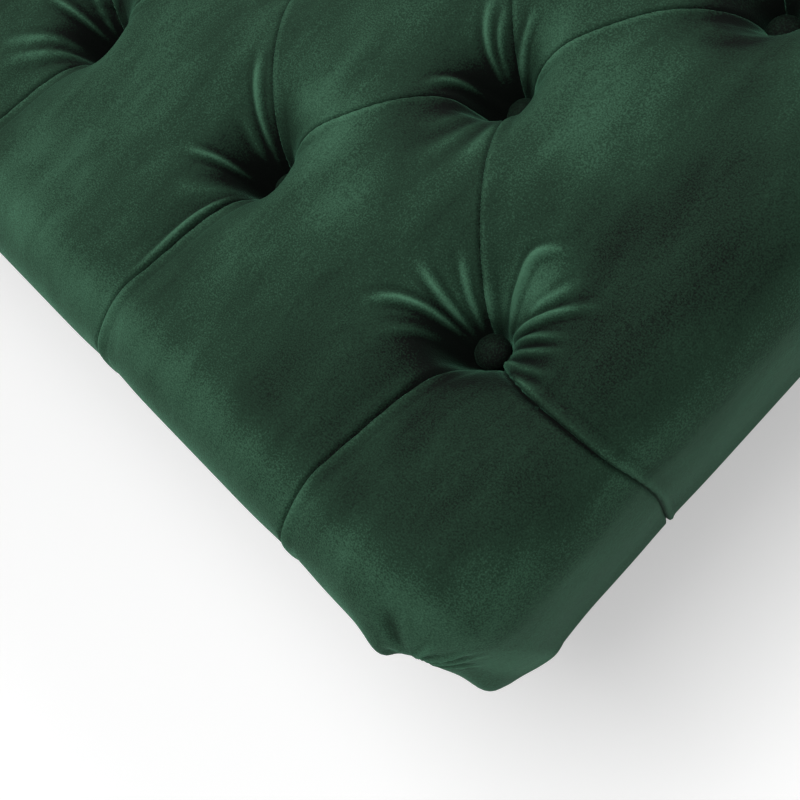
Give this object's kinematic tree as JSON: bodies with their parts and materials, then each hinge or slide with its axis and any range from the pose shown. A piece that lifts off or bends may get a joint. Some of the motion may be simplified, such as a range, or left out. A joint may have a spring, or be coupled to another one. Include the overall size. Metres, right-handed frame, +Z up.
{
  "type": "chaise longue",
  "caption": "Deep-buttoned velvet chaise longue: a long tufted seat slab on turned wooden legs with a rolled, tufted back at the head.",
  "frame": {"origin": "on the floor under the middle of the bounding box", "axes": "+X from the foot to the head, +Y to the left side seen from the foot, +Z up"},
  "size_m": [1.5618, 0.76, 0.85],
  "materials": {
    "velvet": "cut pile velvet",
    "foam": "open cell foam",
    "leg_wood": "dark stained, satin",
    "frame_wood": "bare softwood",
    "plywood": "bare plywood",
    "steel": "zinc plated",
    "twine": "waxed twine",
    "plastic": "moulded",
    "dust_cloth": "nonwoven"
  },
  "bodies": {
    "root": {"back_board": "plywood", "back_board_cleat": "frame_wood", "back_button_twines": "twine", "back_buttons": "velvet", "back_cover": "velvet", "back_foam": "foam", "back_top_rail": "frame_wood", "back_twine_toggles": "plastic", "deck_screws": "steel", "dust_cover": "dust_cloth", "foot_cross_rail": "frame_wood", "foot_edge_padding": "foam", "foot_left_corner_block": "frame_wood", "foot_left_glide": "plastic", "foot_left_leg": "leg_wood", "foot_left_leg_block": "frame_wood", "foot_rail": "frame_wood", "foot_right_corner_block": "frame_wood", "foot_right_glide": "plastic", "foot_right_leg": "leg_wood", "foot_right_leg_block": "frame_wood", "hanger_bolts": "steel", "head_cross_rail": "frame_wood", "head_left_corner_block": "frame_wood", "head_left_glide": "plastic", "head_left_leg": "leg_wood", "head_left_leg_block": "frame_wood", "head_rail": "frame_wood", "head_right_corner_block": "frame_wood", "head_right_glide": "plastic", "head_right_leg": "leg_wood", "head_right_leg_block": "frame_wood", "left_back_facing": "velvet", "left_back_panel": "plywood", "left_edge_padding": "foam", "left_side_rail": "frame_wood", "leg_inserts": "steel", "outer_back_cover": "velvet", "panel_screws": "steel", "rail_dowels": "frame_wood", "right_back_facing": "velvet", "right_back_panel": "plywood", "right_edge_padding": "foam", "right_side_rail": "frame_wood", "roll_core": "plywood", "roll_core_plugs": "plywood", "roll_padding": "foam", "seat_button_twines": "twine", "seat_buttons": "velvet", "seat_cover": "velvet", "seat_deck": "plywood", "seat_foam": "foam", "seat_twine_toggles": "plastic"}
  },
  "joints": []
}
